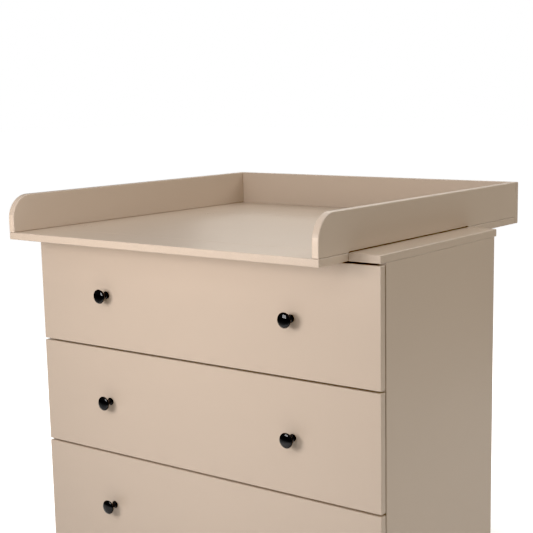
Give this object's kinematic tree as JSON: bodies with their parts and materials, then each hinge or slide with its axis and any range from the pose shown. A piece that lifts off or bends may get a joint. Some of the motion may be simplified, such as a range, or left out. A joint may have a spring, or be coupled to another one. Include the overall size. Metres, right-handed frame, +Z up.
{
  "type": "changing table",
  "caption": "Chest of drawers with round knobs and a lift-off changing frame that widens its top into a railed changing surface.",
  "frame": {"origin": "on the floor under the middle of the whole footprint, changing frame included", "axes": "+Z up; the drawers open towards -Y, the changing frame reaches furthest towards +Y, +X is to the right of a person who faces the drawers"},
  "size_m": [0.92, 0.8256, 0.9318],
  "materials": {
    "lacquered_board": "warm beige satin lacquer on MDF, with a faint sprayed orange-peel texture",
    "drawer_board": "matt foil-wrapped board of the drawer boxes",
    "hardboard": "matt painted hardboard of the back and the drawer bottoms",
    "zinc_steel": "bright zinc-plated steel",
    "black_gloss": "high-gloss black",
    "dark_plastic": "matt dark plastic"
  },
  "bodies": {
    "chest": {"side_panel_left": "lacquered_board", "glide_front_left": "dark_plastic", "glide_rear_left": "dark_plastic", "side_panel_right": "lacquered_board", "glide_front_right": "dark_plastic", "glide_rear_right": "dark_plastic", "top_panel": "lacquered_board", "bottom_panel": "lacquered_board", "plinth_front": "lacquered_board", "plinth_rear": "lacquered_board", "top_rail": "lacquered_board", "back_panel": "hardboard", "cabinet_runner_1_left": "zinc_steel", "cabinet_runner_1_right": "zinc_steel", "cabinet_runner_2_left": "zinc_steel", "cabinet_runner_2_right": "zinc_steel", "cabinet_runner_3_left": "zinc_steel", "cabinet_runner_3_right": "zinc_steel"},
    "drawer_1": {"drawer_1_front": "lacquered_board", "drawer_1_side_left": "drawer_board", "drawer_1_side_right": "drawer_board", "drawer_1_back": "drawer_board", "drawer_1_bottom": "hardboard", "drawer_1_runner_left": "zinc_steel", "drawer_1_runner_right": "zinc_steel", "drawer_1_knob_left": "black_gloss", "drawer_1_knob_screw_left": "zinc_steel", "drawer_1_knob_right": "black_gloss", "drawer_1_knob_screw_right": "zinc_steel"},
    "drawer_2": {"drawer_2_front": "lacquered_board", "drawer_2_side_left": "drawer_board", "drawer_2_side_right": "drawer_board", "drawer_2_back": "drawer_board", "drawer_2_bottom": "hardboard", "drawer_2_runner_left": "zinc_steel", "drawer_2_runner_right": "zinc_steel", "drawer_2_knob_left": "black_gloss", "drawer_2_knob_screw_left": "zinc_steel", "drawer_2_knob_right": "black_gloss", "drawer_2_knob_screw_right": "zinc_steel"},
    "drawer_3": {"drawer_3_front": "lacquered_board", "drawer_3_side_left": "drawer_board", "drawer_3_side_right": "drawer_board", "drawer_3_back": "drawer_board", "drawer_3_bottom": "hardboard", "drawer_3_runner_left": "zinc_steel", "drawer_3_runner_right": "zinc_steel", "drawer_3_knob_left": "black_gloss", "drawer_3_knob_screw_left": "zinc_steel", "drawer_3_knob_right": "black_gloss", "drawer_3_knob_screw_right": "zinc_steel"},
    "changing_frame": {"frame_front_board": "lacquered_board", "frame_rear_board": "lacquered_board", "back_rail": "lacquered_board", "side_rail_left": "lacquered_board", "side_rail_right": "lacquered_board"}
  },
  "joints": [
    {"name": "drawer_1_slide", "type": "slide", "parent": "chest", "child": "drawer_1", "axis": [0, -1, 0], "range_m": [0, 0.3]},
    {"name": "drawer_2_slide", "type": "slide", "parent": "chest", "child": "drawer_2", "axis": [0, -1, 0], "range_m": [0, 0.3]},
    {"name": "drawer_3_slide", "type": "slide", "parent": "chest", "child": "drawer_3", "axis": [0, -1, 0], "range_m": [0, 0.3]},
    {"name": "frame_lift", "type": "slide", "parent": "chest", "child": "changing_frame", "axis": [0, 0, 1], "range_m": [0, 0.2]}
  ]
}
